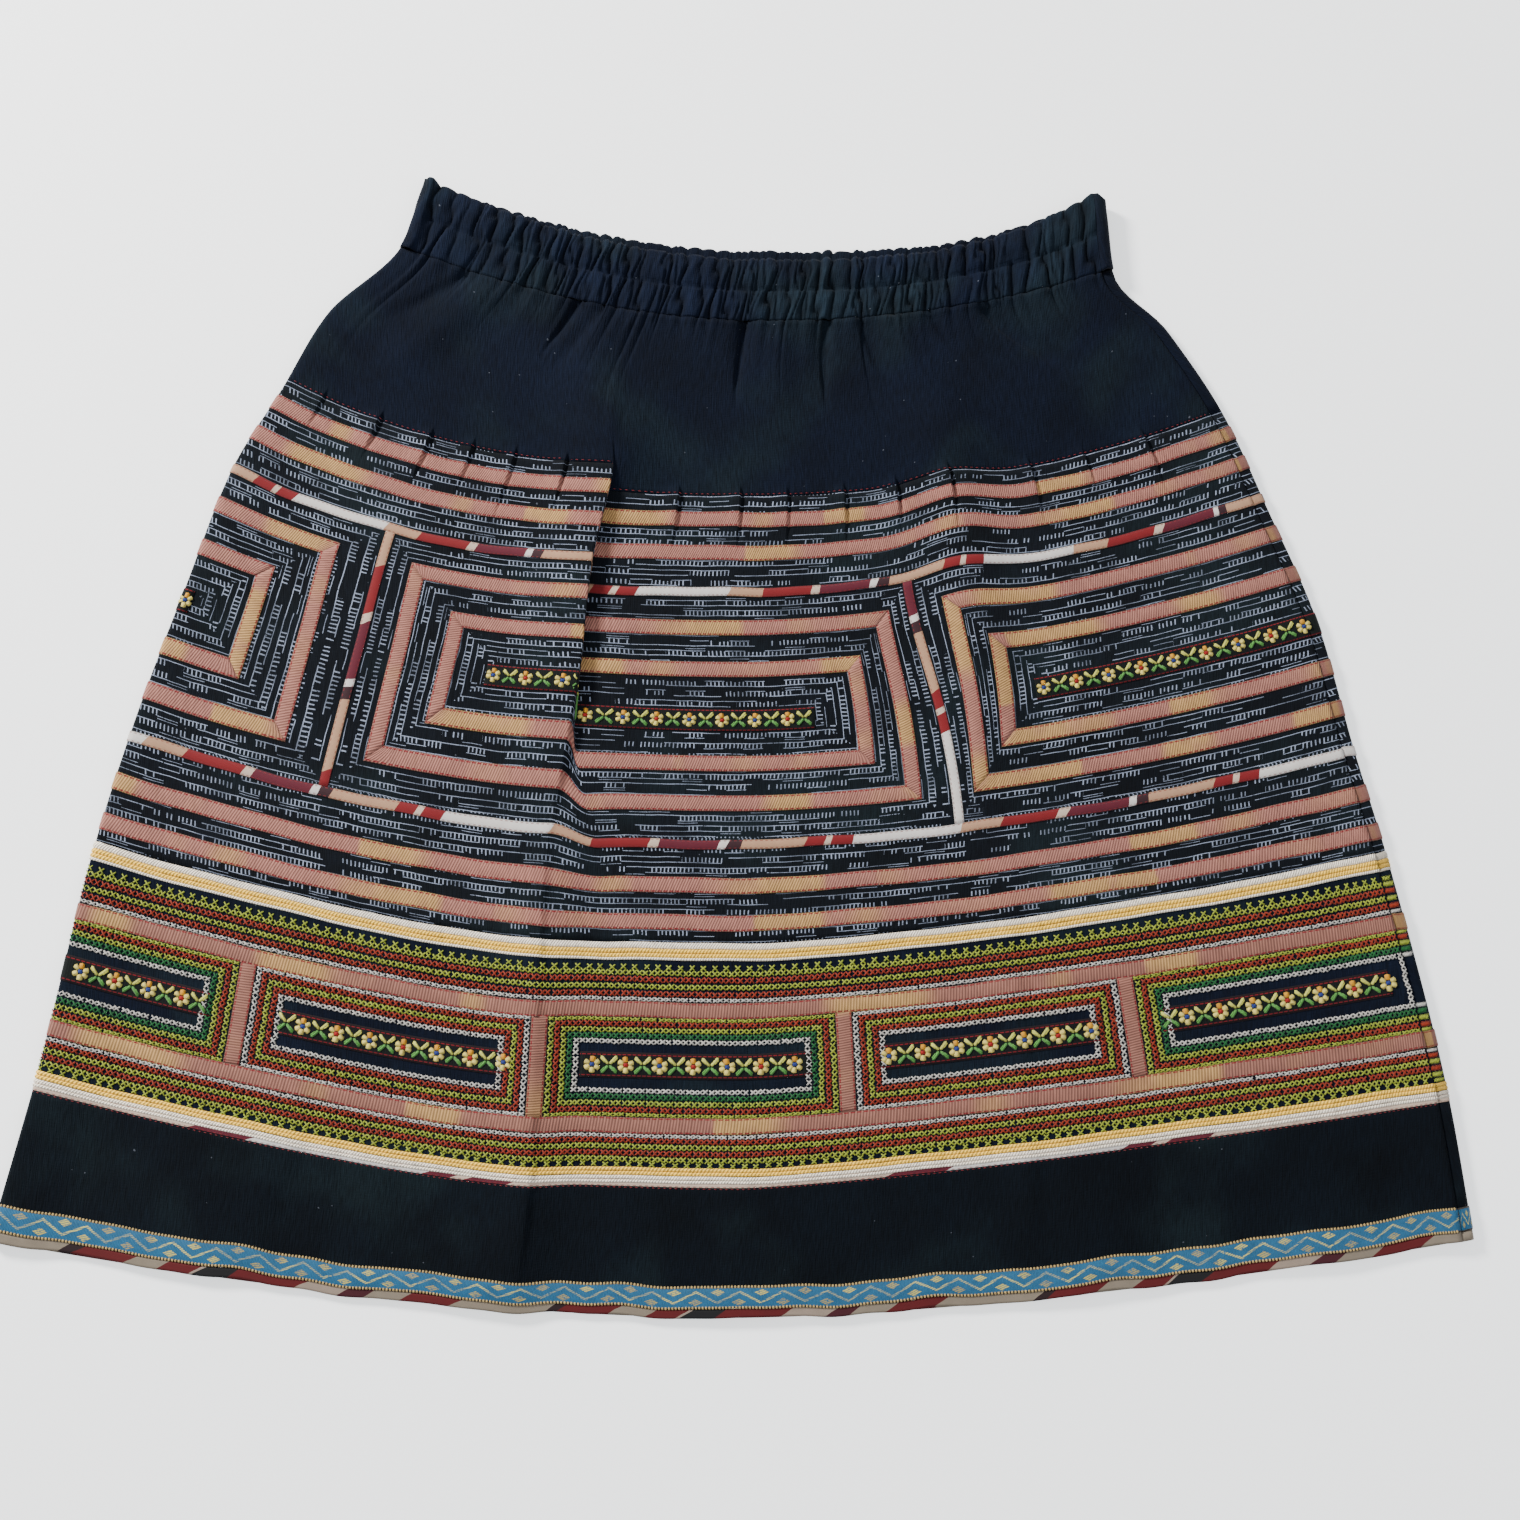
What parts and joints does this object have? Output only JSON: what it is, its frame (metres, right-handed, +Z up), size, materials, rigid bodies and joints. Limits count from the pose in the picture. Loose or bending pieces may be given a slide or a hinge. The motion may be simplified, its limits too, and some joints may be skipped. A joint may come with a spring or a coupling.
{
  "type": "mini skirt",
  "caption": "Elastic-waist skirt laid flat: gathered waistband, plain yoke, batik panel with ribbon applique, cross-stitched band and plain hem.",
  "frame": {"origin": "centre of the skirt's bounding box, on the surface that it lies on", "axes": "+X across the skirt, to the right in the picture, +Y from the hem towards the waist, +Z up, out of the front"},
  "size_m": [0.711, 0.5779, 0.0116],
  "materials": {
    "black_cloth": "matt blue-black cotton with fine upright ribs",
    "batik_cloth": "matt blue-black cotton with pale blue-grey batik lines",
    "stitched_cloth": "black cloth covered with cross-stitches in yellow-green, brick red, green and white",
    "pink_ribbon": "ribbed dusty pink and tan ribbon",
    "print_cloth": "printed cotton in red, burgundy, tan and cream",
    "flower_ribbon": "black woven ribbon with yellow flowers and green leaves",
    "cord": "couched off-white and yellow cord",
    "blue_ribbon": "blue woven ribbon with gold zigzag and edges"
  },
  "bodies": {
    "root": {"waistband_front": "black_cloth", "waistband_back": "black_cloth", "yoke_front": "black_cloth", "yoke_back": "black_cloth", "hem_band_front": "black_cloth", "hem_band_back": "black_cloth", "batik_front": "batik_cloth", "batik_back": "batik_cloth", "embroidery_front": "stitched_cloth", "embroidery_back": "stitched_cloth", "hem_ribbon_back": "blue_ribbon", "hem_ribbon_front": "blue_ribbon", "hem_edging_front": "print_cloth", "hem_edging_back": "print_cloth", "print_strip_upper": "print_cloth", "print_strip_lower": "print_cloth", "print_divider_left": "print_cloth", "print_divider_right": "print_cloth", "pink_row_1": "pink_ribbon", "pink_row_2": "pink_ribbon", "pink_row_3": "pink_ribbon", "pink_row_4": "pink_ribbon", "band_ribbon_upper": "pink_ribbon", "band_ribbon_lower": "pink_ribbon", "band_divider_1": "pink_ribbon", "band_divider_2": "pink_ribbon", "band_divider_3": "pink_ribbon", "band_divider_4": "pink_ribbon", "ring_left_outer": "pink_ribbon", "ring_left_inner": "pink_ribbon", "ring_middle_outer": "pink_ribbon", "ring_middle_inner": "pink_ribbon", "ring_right_outer": "pink_ribbon", "ring_right_inner": "pink_ribbon", "flower_band_left": "flower_ribbon", "flower_band_middle": "flower_ribbon", "flower_band_right": "flower_ribbon", "band_flower_1": "flower_ribbon", "band_flower_2": "flower_ribbon", "band_flower_3": "flower_ribbon", "band_flower_4": "flower_ribbon", "band_flower_5": "flower_ribbon", "cord_upper": "cord", "cord_lower": "cord"}
  },
  "joints": []
}
